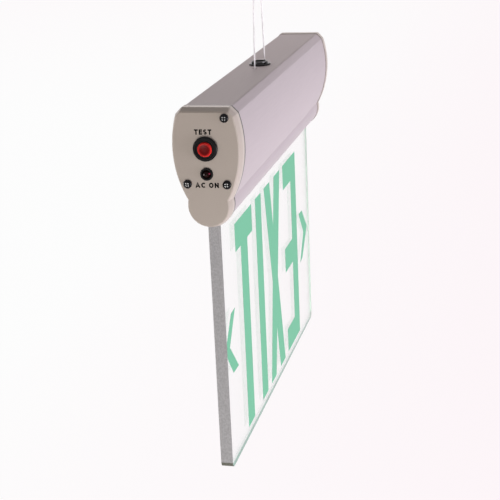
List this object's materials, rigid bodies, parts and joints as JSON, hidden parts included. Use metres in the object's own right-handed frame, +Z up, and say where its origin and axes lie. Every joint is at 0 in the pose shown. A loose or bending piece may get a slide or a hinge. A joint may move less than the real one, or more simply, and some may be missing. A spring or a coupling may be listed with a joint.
{
  "type": "emergency exit light",
  "caption": "Edge-lit exit light hung on fine wires: an extruded housing with bevelled end caps, a test button and a supply lamp, over a clear legend panel.",
  "frame": {"origin": "centre of the housing's flat top, on the axis of the cable bushing, midway between the wires", "axes": "+X along the housing towards the end with the test button; +Y out of the panel's printed face; +Z up, towards the ceiling"},
  "size_m": [0.3109, 0.0444, 0.3157],
  "materials": {
    "anodised_aluminium": "satin anodised",
    "grey_cap_plastic": "satin, metallic grey",
    "bright_steel": "plated",
    "black_steel": "blackened",
    "clear_acrylic": "clear, polished edges",
    "edge_tape": "reflective tape",
    "circuit_board": "solder mask",
    "white_board": "white solder mask",
    "led_package": "moulded",
    "core_steel": "varnished laminations",
    "winding_tape": "tape",
    "black_plastic": "gloss",
    "capacitor_sleeve": "shrink sleeve",
    "terminal_plastic": "moulded",
    "fuse_glass": "glass tube",
    "brass": "plain",
    "ceramic": "ceramic",
    "battery_sleeve": "shrink sleeve",
    "fibre_plate": "phenolic sheet",
    "nylon": "natural nylon",
    "red_button": "gloss",
    "red_lamp": "tinted lamp",
    "spring_steel": "wire",
    "wire_steel": "stranded wire"
  },
  "bodies": {
    "housing": {"housing_extrusion": "anodised_aluminium", "control_end_cap": "grey_cap_plastic", "plain_end_cap": "grey_cap_plastic", "control_cap_screws": "black_steel", "plain_cap_screws": "black_steel", "legend_panel": "clear_acrylic", "panel_hanger_pins": "spring_steel", "control_edge_tape": "edge_tape", "plain_edge_tape": "edge_tape", "light_strip": "white_board", "strip_leds": "led_package", "strip_screws": "bright_steel", "control_board": "circuit_board", "transformer_core": "core_steel", "transformer_coil": "winding_tape", "transfer_relay": "black_plastic", "filter_capacitors": "capacitor_sleeve", "terminal_block": "terminal_plastic", "terminal_screws": "bright_steel", "glass_fuse": "fuse_glass", "fuse_clips": "brass", "charging_resistor": "ceramic", "battery_header": "nylon", "rectifier_diodes": "black_plastic", "battery_pack": "battery_sleeve", "battery_tray": "fibre_plate", "battery_ties": "nylon", "test_switch_body": "black_plastic", "test_switch_nut": "bright_steel", "return_spring": "spring_steel", "switch_contacts": "brass", "lamp_holder": "black_plastic", "supply_lamp": "red_lamp", "lamp_leads": "bright_steel", "lamp_clip": "nylon", "cable_bushing": "black_plastic", "bushing_locknut": "nylon", "control_side_wire": "wire_steel", "control_side_wire_stop": "wire_steel", "control_side_wire_crimp": "wire_steel", "control_side_wire_loop": "wire_steel", "plain_side_wire": "wire_steel", "plain_side_wire_stop": "wire_steel", "plain_side_wire_crimp": "wire_steel", "plain_side_wire_loop": "wire_steel"},
    "test_button": {"test_button": "red_button", "contact_bridge": "brass"}
  },
  "joints": [
    {"name": "test_button_press", "type": "slide", "parent": "housing", "child": "test_button", "axis": [-1, 0, 0], "range_m": [0, 0.0025], "stiffness_N_per_m": 400, "springref_m": -0.0025, "deforming": ["return_spring"]}
  ]
}
